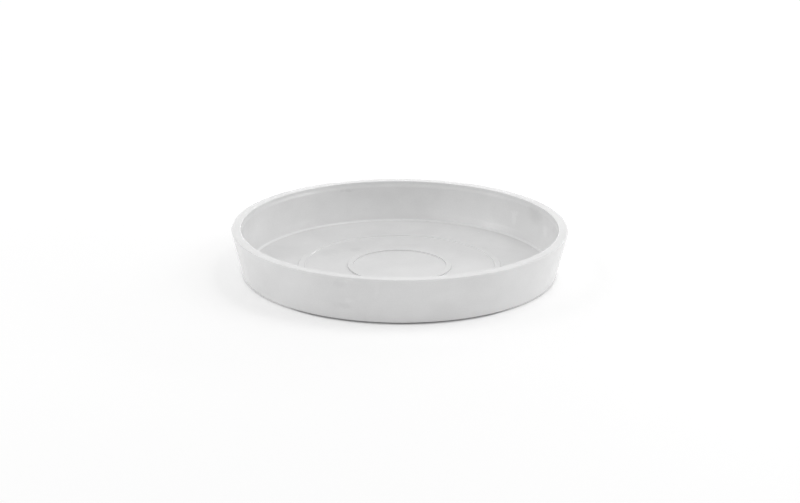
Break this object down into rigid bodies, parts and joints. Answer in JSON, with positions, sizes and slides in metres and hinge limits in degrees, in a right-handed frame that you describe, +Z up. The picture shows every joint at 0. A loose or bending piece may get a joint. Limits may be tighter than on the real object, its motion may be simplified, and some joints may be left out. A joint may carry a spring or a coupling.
{
  "type": "plant saucer",
  "caption": "Round plant saucer with a flared wall, a thick flat rim, low raised rings on the floor and soft round pads underneath.",
  "frame": {"origin": "on the ground, under the centre of the dish", "axes": "+Z up along the axis of the round dish; +X towards the first pad"},
  "size_m": [0.2496, 0.2496, 0.035],
  "materials": {
    "saucer_plastic": "satin, pale grey, faintly mottled",
    "pad_rubber": "matt, mid grey"
  },
  "bodies": {
    "root": {"saucer": "saucer_plastic", "foot_pad_1": "pad_rubber", "foot_pad_2": "pad_rubber", "foot_pad_3": "pad_rubber", "foot_pad_4": "pad_rubber", "foot_pad_5": "pad_rubber", "foot_pad_6": "pad_rubber"}
  },
  "joints": []
}
